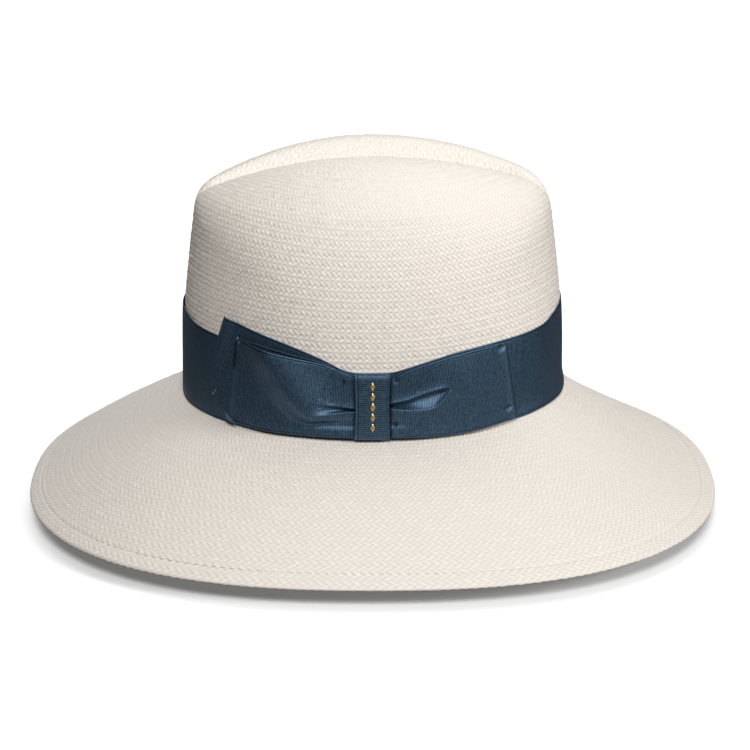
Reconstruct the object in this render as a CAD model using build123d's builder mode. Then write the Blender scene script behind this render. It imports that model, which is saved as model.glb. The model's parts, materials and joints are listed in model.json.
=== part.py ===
from build123d import *

import os
from math import cos, hypot, pi, sin, sqrt

os.makedirs("parts", exist_ok=True)

# A wide-brimmed woman's panama hat, woven in straw, with a ribbon band and a side bow.
# Millimetres. +Z is up, the floor is z = 0 and the brim rests on it all round.
# The front of the hat points to -X, its back to +X, and the bow sits on the -Y side.

# ---------------------------------------------------------------- driving dimensions
HEAD_LENGTH = 204.6         # outside of the crown where it meets the brim, front to back
HEAD_WIDTH = 168.0          # the same, side to side
HEAD_FULLNESS = 2.2         # exponent of the head oval, 2.0 would be an ellipse
BRIM_LENGTH = 373.0         # overall, front to back
BRIM_WIDTH = 350.0          # overall, side to side
BRIM_FULLNESS = 2.35        # exponent of the brim's outline

STRAW = 1.2                 # thickness of one layer of woven straw
STRAW_UPRIGHT = 1.45        # the same layer measured straight down through the sloping brim
STRAW_TOP = 1.6             # the same layer measured straight down through the crown's top
EDGE_HEIGHT = 1.6           # upright outer face of the folded brim edge
HEM_WIDTH = 9.0             # straw turned under along the edge

BREAK_HEIGHT = 53.5         # mean height of the line where the crown meets the brim
BREAK_DIP = 4.5             # how far that line sinks at the two sides
BREAK_TILT = 1.6            # how far it rises to the back and falls to the front

CROWN_HEIGHT = 184.9        # top of the two ridges
RIDGE_HALF_GAP = 24.0       # half the distance between the ridges at mid length
RIDGE_REACH = 100.0         # half-length over which the ridges close on each other
RIDGE_FALL_FRONT = 0.00268  # ridge line drops by this times the length squared, per mm
RIDGE_FALL_BACK = 0.00225
DENT_DEPTH = 26.0           # crease along the top of the crown
DENT_REACH = 97.0

BAND_HEIGHT = 48.6          # width of the hatband ribbon
RIBBON = 0.5                # thickness of the ribbon

CURVE_POINTS = 32           # points on each closed outline
WELL_CLEAR = 140.0          # reach of a cutter that has to pass all of the crown
THROUGH_BRIM = 80.0         # reach of a cutter that has to pass all of the brim
BELOW_FLOOR = 8.0           # how far solids that are trimmed at the floor reach below it

WALL_LEVELS = (40, 60, 85, 105, 122, 140, 160, 190)
BRIM_LEVELS = (58, 53, 48, 42, 35, 27, 18, 9, EDGE_HEIGHT)


# ---------------------------------------------------------------- shape of the straw body
def oval(angle, half_length, half_width, fullness):
    """Distance from the axis to a rounded oval, along a direction in plan."""
    along = abs(cos(angle)) / half_length
    across = abs(sin(angle)) / half_width
    return (along**fullness + across**fullness) ** (-1 / fullness)


def hinge(height, start=105.0, softness=14.0):
    """Zero well below start, rising one for one well above it, with a soft bend."""
    rise = height - start
    return (rise + hypot(rise, softness)) / 2


def wall_radius(angle, height, outset=0.0):
    """The crown's wall in plan: nearly upright by the band, leaning in above it."""
    lean = 0.012 * (height - 50)
    half_length = HEAD_LENGTH / 2 - lean - 0.115 * hinge(height)
    half_width = HEAD_WIDTH / 2 - lean - 0.16 * hinge(height)
    return oval(angle, half_length + outset, half_width + outset, HEAD_FULLNESS)


def break_height(angle):
    """Height of the line between crown and brim."""
    return BREAK_HEIGHT - BREAK_DIP * sin(angle) ** 2 + BREAK_TILT * cos(angle)


def brim_bow(angle):
    """How much the brim droops outward: most at the sides, slightly hollow at the back."""
    return -0.115 - 0.235 * cos(angle) + 0.665 * sin(angle) ** 2


def brim_radius(angle, height):
    """The contour of the brim's upper face at one height."""
    start = wall_radius(angle, break_height(angle))
    edge = oval(angle, BRIM_LENGTH / 2, BRIM_WIDTH / 2, BRIM_FULLNESS)
    fall = (break_height(angle) - height) / (break_height(angle) - EDGE_HEIGHT)
    bow = brim_bow(angle)
    if fall < 0 or abs(bow) < 0.01:
        share = fall / (1 - bow)
    else:
        share = (sqrt((1 - bow) ** 2 + 4 * bow * fall) - (1 - bow)) / (2 * bow)
    return start + share * (edge - start)


def ridge_height(x):
    """The ridge line falls to the front a little faster than to the back."""
    fall = RIDGE_FALL_FRONT if x < 0 else RIDGE_FALL_BACK
    return CROWN_HEIGHT - fall * x * x


def top_height(x, y):
    """Upper face of the crown: a long teardrop dent between two ridges, then round shoulders."""
    ridge = RIDGE_HALF_GAP * max(1 - (x / RIDGE_REACH) ** 2, 1e-6) ** 0.75
    if abs(y) < ridge:
        depth = DENT_DEPTH * (1 - (x / DENT_REACH) ** 4)
        return ridge_height(x) - depth * cos(pi / 2 * abs(y) / ridge) ** 2
    beyond = (abs(y) - ridge) / 50
    return ridge_height(x) - 29 * beyond**2 - 8.4 * beyond**6


# ---------------------------------------------------------------- building blocks
def closed_outline(height, radius_at):
    """A closed outline on a level plane, as a face for a loft or an extrusion."""
    steps = [2 * pi * i / CURVE_POINTS for i in range(CURVE_POINTS)]
    with BuildSketch(Plane.XY.offset(height)) as outline:
        with BuildLine():
            Spline(*[(radius_at(a) * cos(a), radius_at(a) * sin(a)) for a in steps], periodic=True)
        make_face()
    return outline.sketch


def wall_mass(outset=0.0, mode=Mode.ADD):
    """Everything inside the crown's wall, grown or shrunk by outset."""
    loft([closed_outline(h, lambda a: wall_radius(a, h, outset)).face() for h in WALL_LEVELS], mode=mode)


def wall_ring(inner, outer):
    """A thin ring that follows the crown's wall between two distances from the straw."""
    with BuildPart() as ring:
        wall_mass(outer)
        wall_mass(inner, mode=Mode.SUBTRACT)
    return ring.part


def brim_mass(shift=0.0):
    """Everything under the brim's upper face, moved up or down by shift."""
    contours = [closed_outline(h + shift, lambda a: brim_radius(a, h)) for h in BRIM_LEVELS]
    with BuildPart() as mass:
        loft([contour.face() for contour in contours])
        extrude(contours[-1], amount=-(EDGE_HEIGHT + max(shift, 0) + BELOW_FLOOR))
    return mass.part


def outline_block(*points):
    """A block on the bow's side of the hat with the given outline in x and z."""
    with BuildPart() as block:
        with BuildSketch(Plane.XZ):
            with BuildLine():
                Polyline(*points, close=True)
            make_face()
        extrude(amount=WELL_CLEAR)
    return block.part


def ribbon_layer(inner, outer, *points):
    """One layer of ribbon lying along the crown, cut to an outline."""
    with BuildPart() as layer:
        add(wall_ring(inner, outer))
        add(outline_block(*points), mode=Mode.INTERSECT)
    return layer.part


def ring_stitches(count, place, size):
    """Short straight stitches spaced evenly round the hat."""
    planes = []
    for i in range(count):
        here, ahead, outward = (Vector(*place(2 * pi * (i + d) / count, e)) for d, e in ((0, 0), (0.01, 0), (0, 1)))
        run = (ahead - here).normalized()
        up = run.cross(outward - here).normalized() * -1
        planes.append(Plane(here, x_dir=run, z_dir=up if up.Z > 0 else up * -1).location)
    with BuildPart() as stitches:
        with Locations(*planes):
            Box(*size, align=(Align.CENTER, Align.CENTER, Align.MIN))
    return stitches.part


def keep(part, name):
    """Label a finished piece and write its file."""
    part.label = name
    export_step(part, f"parts/{name}.step")


under_brim_top = brim_mass()


# ---------------------------------------------------------------- woven straw
TOP_REACH = 98.0            # the crown's upper face is worked out over this half-length
TOP_SPREAD = 84.0           # and this half-width


def crown_trim(shift):
    """The space above the crown's upper face, moved by shift."""
    rows, columns = 21, 43
    xs = [-TOP_REACH + 2 * TOP_REACH * i / (rows - 1) for i in range(rows)]
    ys = [-TOP_SPREAD + 2 * TOP_SPREAD * i / (columns - 1) for i in range(columns)]
    grid = [[(x, y, top_height(x, y) + shift) for y in ys] for x in xs]
    face = Face.make_surface_from_array_of_points(grid, tol=0.1)
    with BuildPart() as space:
        extrude(face, amount=WELL_CLEAR, dir=(0, 0, 1))
    return space.part


with BuildPart() as crown_hollow:
    wall_mass(-STRAW)
    add(crown_trim(-STRAW_TOP), mode=Mode.SUBTRACT)

with BuildPart() as straw_crown:
    wall_mass()
    add(crown_trim(0), mode=Mode.SUBTRACT)
    add(crown_hollow.part, mode=Mode.SUBTRACT)
    add(under_brim_top, mode=Mode.SUBTRACT)
keep(straw_crown.part, "straw_crown")

with BuildPart() as under_single_layer:
    extrude(closed_outline(-BELOW_FLOOR, lambda a: brim_radius(a, EDGE_HEIGHT) - HEM_WIDTH), amount=THROUGH_BRIM)
    add(brim_mass(-STRAW_UPRIGHT), mode=Mode.INTERSECT)

with BuildPart() as straw_brim:
    add(under_brim_top)
    extrude(closed_outline(0, lambda a: brim_radius(a, 0)), amount=-2 * BELOW_FLOOR, mode=Mode.SUBTRACT)
    add(brim_mass(-2 * STRAW_UPRIGHT), mode=Mode.SUBTRACT)
    add(under_single_layer.part, mode=Mode.SUBTRACT)
    extrude(closed_outline(0, lambda a: wall_radius(a, BREAK_HEIGHT, -STRAW)), amount=THROUGH_BRIM, mode=Mode.SUBTRACT)
keep(straw_brim.part, "straw_brim")


# ---------------------------------------------------------------- sewing along the edge
def slope_point(angle, from_edge, lift=0.0):
    """A point on the brim's upper face, measured inward from the edge."""
    low, high = EDGE_HEIGHT, EDGE_HEIGHT + from_edge
    edge = brim_radius(angle, EDGE_HEIGHT)
    for _ in range(20):
        middle = (low + high) / 2
        if hypot(edge - brim_radius(angle, middle), middle - EDGE_HEIGHT) < from_edge:
            low = middle
        else:
            high = middle
    radius = brim_radius(angle, low)
    return radius * cos(angle), radius * sin(angle), low + lift


SEAM_FROM_EDGE = 8.4

with BuildPart() as hem_stitching:
    add(ring_stitches(230, lambda a, e: slope_point(a, SEAM_FROM_EDGE + e), (3.3, 0.6, 0.4)))
keep(hem_stitching.part, "hem_stitching")


# ---------------------------------------------------------------- sweatband inside the crown
SWEATBAND_HEIGHT = 38.0
SWEATBAND_GAP = 0.15        # between straw and leather
LEATHER = 1.0
leather_face = -(STRAW + SWEATBAND_GAP + LEATHER)

with BuildPart() as sweatband:
    add(wall_ring(leather_face, leather_face + LEATHER))
    add(brim_mass(SWEATBAND_HEIGHT), mode=Mode.INTERSECT)
    add(brim_mass(-1.0), mode=Mode.SUBTRACT)
keep(sweatband.part, "sweatband")

with BuildPart() as sweatband_reed:
    add(wall_ring(leather_face - 1.7, leather_face - 0.1))
    add(brim_mass(1.2), mode=Mode.INTERSECT)
    add(brim_mass(-0.6), mode=Mode.SUBTRACT)
keep(sweatband_reed.part, "sweatband_reed")


def inside_point(angle, height, depth):
    """A point on the sweatband's face, above the brim line."""
    level = break_height(angle) + height
    radius = wall_radius(angle, level, leather_face - depth)
    return radius * cos(angle), radius * sin(angle), level


with BuildPart() as sweatband_stitching:
    add(ring_stitches(120, lambda a, e: inside_point(a, 3.4, e), (3.0, 0.5, 0.4)))
keep(sweatband_stitching.part, "sweatband_stitching")


def inside_patch(inner, outer, *points):
    """A thin patch on the inside of the sweatband at the back, outlined in y and z."""
    with BuildPart() as patch:
        add(wall_ring(inner, outer))
        with BuildSketch(Plane.YZ):
            with BuildLine():
                Polyline(*points, close=True)
            make_face()
        extrude(amount=WELL_CLEAR, mode=Mode.INTERSECT)
    return patch.part


bow_face = leather_face - 0.05
keep(inside_patch(bow_face - 0.5, bow_face, (-2.5, 58), (-2.5, 88), (2.5, 88), (2.5, 58)), "sweatband_seam_tape")
keep(inside_patch(bow_face - 0.3, bow_face, (-34, 66), (-34, 82), (-10, 82), (-10, 66)), "size_label")


def seam_bow():
    """The small flat ribbon bow over the sweatband's seam."""
    wing = ((0, 61.5), (16, 57), (16, 67), (0, 63.5))
    outline = wing + tuple((-y, z) for y, z in reversed(wing[1:-1]))
    return inside_patch(bow_face - 1.3, bow_face - 0.55, *outline)


keep(seam_bow(), "sweatband_bow")


# ---------------------------------------------------------------- ribbon band and side bow
BAND_INNER = 0.1            # just clear of the straw
BAND_OUTER = BAND_INNER + RIBBON
KNOT_LEFT, KNOT_RIGHT = -9.6, 8.9
KNOT_TOP, KNOT_BOTTOM = 85.4, 50.0
KNOT_FACE = 5.3             # how far the knot stands off the straw
LOOP_BACK = 1.3             # inner face of the loops
TOP_CLEAR = 130.0
FOLD_WALL = 1.2             # ribbon left at the closed end of a loop
LOOP_OPEN = 6.0             # how far the hollow of a loop is cut past its two open edges

# upper edge of the band where the bow pulls it down, in x and z, from the back round to the front
gathered_edge = ((99, 104), (95.4, 101.7), (90.7, 99.2), (82.3, 98.2), (68.5, 97.2), (55.5, 95.9), (41.7, 93.8),
                 (24.3, 89.1), (9.7, 84.6), (-9.7, 84.6), (-24.3, 89.1), (-41.7, 92.2), (-58.3, 94.6),
                 (-68.9, 95.8), (-80.8, 96.5), (-87.5, 97.2), (-93.6, 98.2), (-99, 100.6))

with BuildPart() as hatband:
    add(wall_ring(BAND_INNER, BAND_OUTER))
    add(brim_mass(BAND_HEIGHT), mode=Mode.INTERSECT)
    add(brim_mass(0.3), mode=Mode.SUBTRACT)
    add(outline_block(*gathered_edge, (-99, TOP_CLEAR), (99, TOP_CLEAR)), mode=Mode.SUBTRACT)
keep(hatband.part, "hatband")


def loop(inner, outer, outline, fold_side):
    """A flat loop of ribbon, closed at its fold and open along its two edges."""
    upper = len(outline) / 2
    inside = tuple((x - fold_side * FOLD_WALL, z + (LOOP_OPEN if i < upper else -LOOP_OPEN))
                   for i, (x, z) in enumerate(outline))
    with BuildPart() as ribbon:
        add(ribbon_layer(inner, outer, *outline))
        add(ribbon_layer(inner + RIBBON, outer - RIBBON, *inside), mode=Mode.SUBTRACT)
    return ribbon.part


right_outline = ((-0.2, 81), (12.5, 83.4), (29.4, 90.4), (50.1, 95.2), (68.3, 96.3), (71.4, 76), (74.7, 54.3),
                 (48.9, 51.6), (11.5, 50.8), (-0.2, 50.8))
left_outline = ((-0.6, 82.5), (-10.6, 84), (-25.5, 90.3), (-38.9, 92.7), (-51.9, 95.4), (-70.8, 98.8),
                (-74.5, 64.5), (-76.3, 52.2), (-57.6, 51), (-10.6, 50.8), (-0.6, 50.8))
under_outline = ((-0.6, 82.5), (-10.6, 84.2), (-27.1, 92.2), (-42.6, 97.9), (-59.2, 102.7), (-77.3, 108.1),
                 (-81.3, 94.3), (-85.9, 65.1), (-75.8, 60.6), (-40, 52), (-10.6, 51), (-0.6, 51))

keep(loop(LOOP_BACK, 3.9, right_outline, 1), "bow_loop_right")
keep(loop(2.0, 4.4, left_outline, -1), "bow_loop_left")
keep(ribbon_layer(LOOP_BACK, LOOP_BACK + RIBBON, *under_outline), "bow_under_layer")

with BuildPart() as bow_knot:
    add(ribbon_layer(0.7, KNOT_FACE, (KNOT_LEFT, KNOT_TOP), (KNOT_RIGHT, KNOT_TOP),
                     (KNOT_RIGHT, KNOT_BOTTOM), (KNOT_LEFT, KNOT_BOTTOM)))
    add(ribbon_layer(1.2, KNOT_FACE - 0.7, (KNOT_LEFT - 1, KNOT_TOP - 0.6), (KNOT_RIGHT + 1, KNOT_TOP - 0.6),
                     (KNOT_RIGHT + 1, KNOT_BOTTOM + 0.6), (KNOT_LEFT - 1, KNOT_BOTTOM + 0.6)), mode=Mode.SUBTRACT)
keep(bow_knot.part, "bow_knot")


def flat_marks(inner, outer, centres, half_width, half_height):
    """Small lozenges lying on a ribbon."""
    marks = []
    for x, z in centres:
        corners = ((x - half_width, z), (x, z + half_height), (x + half_width, z), (x, z - half_height))
        marks.append(ribbon_layer(inner, outer, *corners))
    return marks


motif_centres = [(0, 57 + 5.5 * i) for i in range(5)]
with BuildPart() as knot_motif:
    add(flat_marks(KNOT_FACE, KNOT_FACE + 0.15, motif_centres, 1.3, 2.4))
keep(knot_motif.part, "knot_motif")

with BuildPart() as bow_tacks:
    add(flat_marks(3.9, 4.25, [(66.4, 93.5), (70.2, 61.5), (13.0, 80.5), (11.8, 58.4)], 0.5, 1.3))
    add(flat_marks(4.4, 4.75, [(-69.3, 96.0), (-14.2, 81.5)], 0.5, 1.3))
    add(flat_marks(1.8, 2.15, [(-82.6, 67.0)], 0.5, 1.3))
keep(bow_tacks.part, "bow_tacks")
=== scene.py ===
import json
from math import cos, pi, radians, sin

import bpy
import numpy as np
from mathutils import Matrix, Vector

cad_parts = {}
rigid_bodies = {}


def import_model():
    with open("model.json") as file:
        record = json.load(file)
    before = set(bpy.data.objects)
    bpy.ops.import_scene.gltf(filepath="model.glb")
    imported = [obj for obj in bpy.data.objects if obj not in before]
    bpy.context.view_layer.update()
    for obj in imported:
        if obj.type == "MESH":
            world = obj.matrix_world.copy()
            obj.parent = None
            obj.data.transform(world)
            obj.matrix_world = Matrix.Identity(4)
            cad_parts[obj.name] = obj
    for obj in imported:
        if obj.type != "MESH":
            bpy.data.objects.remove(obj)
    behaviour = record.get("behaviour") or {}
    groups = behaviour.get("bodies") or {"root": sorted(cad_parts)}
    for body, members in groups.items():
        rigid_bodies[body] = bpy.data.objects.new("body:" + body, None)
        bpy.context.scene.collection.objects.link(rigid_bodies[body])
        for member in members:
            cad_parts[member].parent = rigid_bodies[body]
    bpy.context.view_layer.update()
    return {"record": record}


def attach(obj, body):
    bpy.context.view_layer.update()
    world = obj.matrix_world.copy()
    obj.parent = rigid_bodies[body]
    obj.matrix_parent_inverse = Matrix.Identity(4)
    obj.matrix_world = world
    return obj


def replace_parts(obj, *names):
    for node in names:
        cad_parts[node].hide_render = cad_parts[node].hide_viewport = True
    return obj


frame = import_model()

# A panama hat: woven straw crown and brim, ribbon band with a flat side bow, leather sweatband.
# The shape is worked out in millimetres, in the frame of the model, and scaled to metres as
# each mesh is made. +Z is up, the hat's front points to -X and the bow is on the -Y side.

# ---------------------------------------------------------------- dimensions, mm
HEAD_LENGTH, HEAD_WIDTH, HEAD_FULLNESS = 204.6, 168.0, 2.2
BRIM_LENGTH, BRIM_WIDTH, BRIM_FULLNESS = 373.0, 350.0, 2.35
EDGE_HEIGHT = 1.6
HEM_WIDTH = 9.0
SEAM_FROM_EDGE = 8.4
STRAW, STRAW_UPRIGHT, STRAW_TOP = 1.2, 1.45, 1.6
BREAK_HEIGHT, BREAK_DIP, BREAK_TILT = 53.5, 4.5, 1.6
CROWN_HEIGHT = 184.9
RIDGE_HALF_GAP, RIDGE_REACH = 24.0, 100.0
RIDGE_FALL_FRONT, RIDGE_FALL_BACK = 0.00268, 0.00225
DENT_DEPTH, DENT_REACH = 26.0, 97.0
BAND_HEIGHT = 48.6
SWEATBAND_HEIGHT = 38.0

CROWN_STRANDS, BRIM_STRANDS = 192, 256      # diagonal floats in one round of the weave
CROWN_ROWS, BRIM_ROWS = 308, 158            # quarter-rows of the weave from edge to centre
CROWN_DEPTH, BRIM_DEPTH = 0.62, 0.36        # relief of the weave
CROWN_LEAN, BRIM_LEAN = 1.0, 0.25           # how unlike the two slants of strand are, in height and in painted light and shade
FLOAT_END, FLOAT_SIDE, FLOAT_UNDER = 0.86, 0.42, 0.16   # heights on a float, whose middle is at 1
FLOAT_ROUGHNESS, FLOAT_SLIDE, LARGEST_SLIDE = 0.022, 0.11, 0.25
THINNEST_FAN = 11                           # the strands halve toward the middle down to about this

HEM_STITCHES, HEM_STITCH = 230, (3.0, 0.5, 0.4)         # how many, and length, width and height
HEM_STITCH_SINK = 0.14
RIBBON_WIDTH = 45.0                         # the bow's ribbon as it lies, a little gathered
BAND_RIBBON, BOW_RIBBON, KNOT_RIBBON, LINING_RIBBON = 0.42, 0.40, 0.45, 0.30    # thicknesses
KNOT_LEFT, KNOT_RIGHT = -9.6, 8.9           # the knot's edges, along X
KNOT_EDGE = 9.2                             # mean distance of those edges from the middle
RIB_PITCH, LINING_RIB_PITCH, WEFT_PITCH = 0.85, 0.6, 0.34

FLOOR_LEVEL = -0.010                        # this and the camera's are in metres
CAMERA_DISTANCE, CAMERA_TARGET_HEIGHT = 1.6, 0.0573
CAMERA_RISE, CAMERA_LENS, CAMERA_SHIFT = 17.5, 141.1, 2.3 / 750

rng = np.random.default_rng(7)


# ---------------------------------------------------------------- shape of the straw body
def oval(a, half_length, half_width, fullness):
    return ((np.abs(np.cos(a)) / half_length) ** fullness
            + (np.abs(np.sin(a)) / half_width) ** fullness) ** (-1 / fullness)


def hinge(h, start=105.0, softness=14.0):
    return ((h - start) + np.hypot(h - start, softness)) / 2


def wall_halves(h):
    """Half length and half width of the crown's wall at a height."""
    lean = 0.012 * (h - 50)
    return HEAD_LENGTH / 2 - lean - 0.115 * hinge(h), HEAD_WIDTH / 2 - lean - 0.16 * hinge(h)


def wall_radius(a, h, outset=0.0):
    half_length, half_width = wall_halves(h)
    return oval(a, half_length + outset, half_width + outset, HEAD_FULLNESS)


def break_height(a):
    return BREAK_HEIGHT - BREAK_DIP * np.sin(a) ** 2 + BREAK_TILT * np.cos(a)


def brim_bow(a):
    return -0.115 - 0.235 * np.cos(a) + 0.665 * np.sin(a) ** 2


def brim_start(a):
    return wall_radius(a, break_height(a))


def brim_end(a):
    return oval(a, BRIM_LENGTH / 2, BRIM_WIDTH / 2, BRIM_FULLNESS)


def brim_height(a, r):
    """Upper face of the brim at a distance from the axis."""
    share = (r - brim_start(a)) / (brim_end(a) - brim_start(a))
    bow = brim_bow(a)
    return break_height(a) - (break_height(a) - EDGE_HEIGHT) * ((1 - bow) * share + bow * share * share)


def top_height(x, y):
    ridge = RIDGE_HALF_GAP * np.maximum(1 - (x / RIDGE_REACH) ** 2, 1e-6) ** 0.75
    crest = CROWN_HEIGHT - np.where(x < 0, RIDGE_FALL_FRONT, RIDGE_FALL_BACK) * x * x
    depth = DENT_DEPTH * (1 - (x / DENT_REACH) ** 4)
    inside = crest - depth * np.cos(pi / 2 * np.minimum(np.abs(y) / ridge, 1)) ** 2
    beyond = (np.abs(y) - ridge) / 50
    return np.where(np.abs(y) < ridge, inside, crest - 29 * beyond**2 - 8.4 * beyond**6)


def unit(vectors):
    return vectors / np.maximum(np.linalg.norm(vectors, axis=-1, keepdims=True), 1e-9)


def turned(reach, turn, z):
    """Points at a distance from the upright axis, in a direction round it."""
    return np.stack([reach * np.cos(turn), reach * np.sin(turn), z], axis=-1)


def spaced(path, count):
    """count + 1 points evenly spaced along a path of (n, k) points."""
    along = np.concatenate([[0], np.cumsum(np.linalg.norm(np.diff(path, axis=0), axis=1))])
    at = np.linspace(0, along[-1], count + 1)
    return np.stack([np.interp(at, along, c) for c in path.T], axis=1)


def even_turns(count, radius_at):
    """Directions evenly spaced along a contour, rather than evenly in angle."""
    dense = np.linspace(0, 2 * pi, 7201)
    r = radius_at(dense)
    step = np.hypot(np.diff(r * np.cos(dense)), np.diff(r * np.sin(dense)))
    along = np.concatenate([[0], np.cumsum(step)])
    return np.interp(np.arange(count) / count * along[-1], along, dense)


def crown_profiles(angles, rows):
    """For each direction, points (r, z) from the foot of the wall up to the middle of the top."""
    low, high = np.full(len(angles), 115.0), np.full(len(angles), 192.0)
    for _ in range(40):
        mid = (low + high) / 2
        r = wall_radius(angles, mid)
        above = top_height(r * np.cos(angles), r * np.sin(angles)) < mid
        low, high = np.where(above, low, mid), np.where(above, mid, high)
    profiles = []
    for a, corner in zip(angles, (low + high) / 2):
        h = np.linspace(break_height(a) - 1.5, corner, 180)
        r = np.linspace(wall_radius(a, corner), 0, 140)[1:]
        path = np.concatenate([np.stack([wall_radius(a, h), h], axis=1),
                               np.stack([r, top_height(r * cos(a), r * sin(a))], axis=1)])
        along = np.concatenate([[0], np.cumsum(np.linalg.norm(np.diff(path, axis=0), axis=1))])
        turn = along[len(h) - 1]
        soft = 8.0 + 2.5 * (1 + cos(a)) + 15 * sin(a) ** 2          # how far the shoulder is rounded
        at = np.linspace(0, along[-1], 1400)
        fine = np.stack([np.interp(at, along, c) for c in path.T], axis=1)
        start, end = (np.array([np.interp(turn + s * soft, along, c) for c in path.T]) for s in (-1, 1))
        t = ((at - turn + soft) / (2 * soft))[:, None]
        bend = (1 - t) ** 2 * start + 2 * t * (1 - t) * path[len(h) - 1] + t * t * end
        fine = np.where((t > 0) & (t < 1), bend, fine)
        profiles.append(spaced(fine, rows))
    return np.array(profiles)


def brim_profiles(angles, rows):
    """For each direction, points (r, z) from the turned-under edge round the fold and up to the crown."""
    profiles = []
    for a in angles:
        end = brim_end(a)
        r = np.linspace(end - HEM_WIDTH, end - 1.6, 60)
        under = brim_height(a, r) - 2 * STRAW_UPRIGHT
        under = (under + np.hypot(under, 0.5)) / 2
        fold = np.array([(-1.0, 0.0), (-0.45, 0.12), (-0.1, 0.45), (0.0, 0.9), (-0.12, 1.35), (-0.5, 1.75)])
        top = np.linspace(end - 1.2, brim_start(a), 200)
        path = np.concatenate([np.stack([r, under], axis=1), fold + (end, 0),
                               np.stack([top, brim_height(a, top)], axis=1)])
        profiles.append(spaced(path, rows))
    return np.array(profiles)


# ---------------------------------------------------------------- mesh making
def make_mesh(name, points, faces, uv=None, uv_name="weave", material=None, **floats):
    """An object from points in mm, an (n, 3) or (n, 4) face array and per-corner coordinates."""
    mesh = bpy.data.meshes.new(name)
    points, faces = np.asarray(points, np.float32) * 0.001, np.asarray(faces, np.int32)
    sides = faces.shape[1]
    mesh.vertices.add(len(points))
    mesh.vertices.foreach_set("co", points.ravel())
    mesh.loops.add(faces.size)
    mesh.loops.foreach_set("vertex_index", faces.ravel())
    mesh.polygons.add(len(faces))
    mesh.polygons.foreach_set("loop_start", np.arange(len(faces), dtype=np.int32) * sides)
    mesh.polygons.foreach_set("use_smooth", np.ones(len(faces), dtype=bool))
    if uv is not None:
        layer = mesh.uv_layers.new(name=uv_name)
        layer.data.foreach_set("uv", np.asarray(uv, np.float32).ravel())
    for key, values in floats.items():
        attribute = mesh.attributes.new(key, "FLOAT", "POINT")
        attribute.data.foreach_set("value", np.asarray(values, np.float32).ravel())
    mesh.update(calc_edges=True)
    mesh.validate()
    piece = bpy.data.objects.new(name, mesh)
    bpy.context.scene.collection.objects.link(piece)
    if material:
        mesh.materials.append(material)
    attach(piece, "root")
    return piece


def grid_faces(columns, rows, wrap=False, flip=False):
    """Quads over a grid of points stored row by row. wrap joins the last column to the first."""
    across = columns if wrap else columns - 1
    i, j = np.meshgrid(np.arange(across), np.arange(rows - 1))
    i, j = i.ravel(), j.ravel()
    right = (i + 1) % columns
    quads = np.stack([j * columns + i, j * columns + right,
                      (j + 1) * columns + right, (j + 1) * columns + i], axis=1)
    corners = np.stack([np.stack([i, j], 1), np.stack([i + 1, j], 1), np.stack([i + 1, j + 1], 1),
                        np.stack([i, j + 1], 1)], axis=1)
    return (quads[:, ::-1], corners[:, ::-1]) if flip else (quads, corners)


def weave_relief(n, m, strands, tones, lean):
    """Height from 0 to 1 and tone of the two-over two-under weave, at its own lattice points."""
    a, b = (n + m) // 2, (n - m) // 2
    i, j = a // 2, b // 2
    k = (i - j) % 4
    odd_a, odd_b = a % 2 == 1, b % 2 == 1
    height = np.where(odd_a & odd_b, FLOAT_END, 0.0)
    on_a = ~odd_a & odd_b
    on_b = odd_a & ~odd_b
    under_a, under_b = FLOAT_UNDER - 0.1 * lean, FLOAT_UNDER + 0.34 * lean
    height = np.where(on_a, np.select([k == 1, k == 3], [1.0, under_a], FLOAT_SIDE), height)
    height = np.where(on_b, np.select([k == 2, k == 0], [1.0, under_b], FLOAT_SIDE), height)
    floats_a = (odd_a & odd_b & (k < 2)) | (on_a & (k == 1))
    floats_b = (odd_a & odd_b & (k > 1)) | (on_b & (k == 2))
    row = (i - j) // 4
    # One slant of float is toned darker and the other lighter, scaled by lean: painted shade and light for
    # how the light falls across the two slants.
    tone = np.where(floats_a, tones[j % strands, row % 64, 0] - 0.22 * lean,
                    np.where(floats_b, tones[i % strands, row % 64, 1] + 0.12 * lean, 0.5))
    return height, tone


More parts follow.
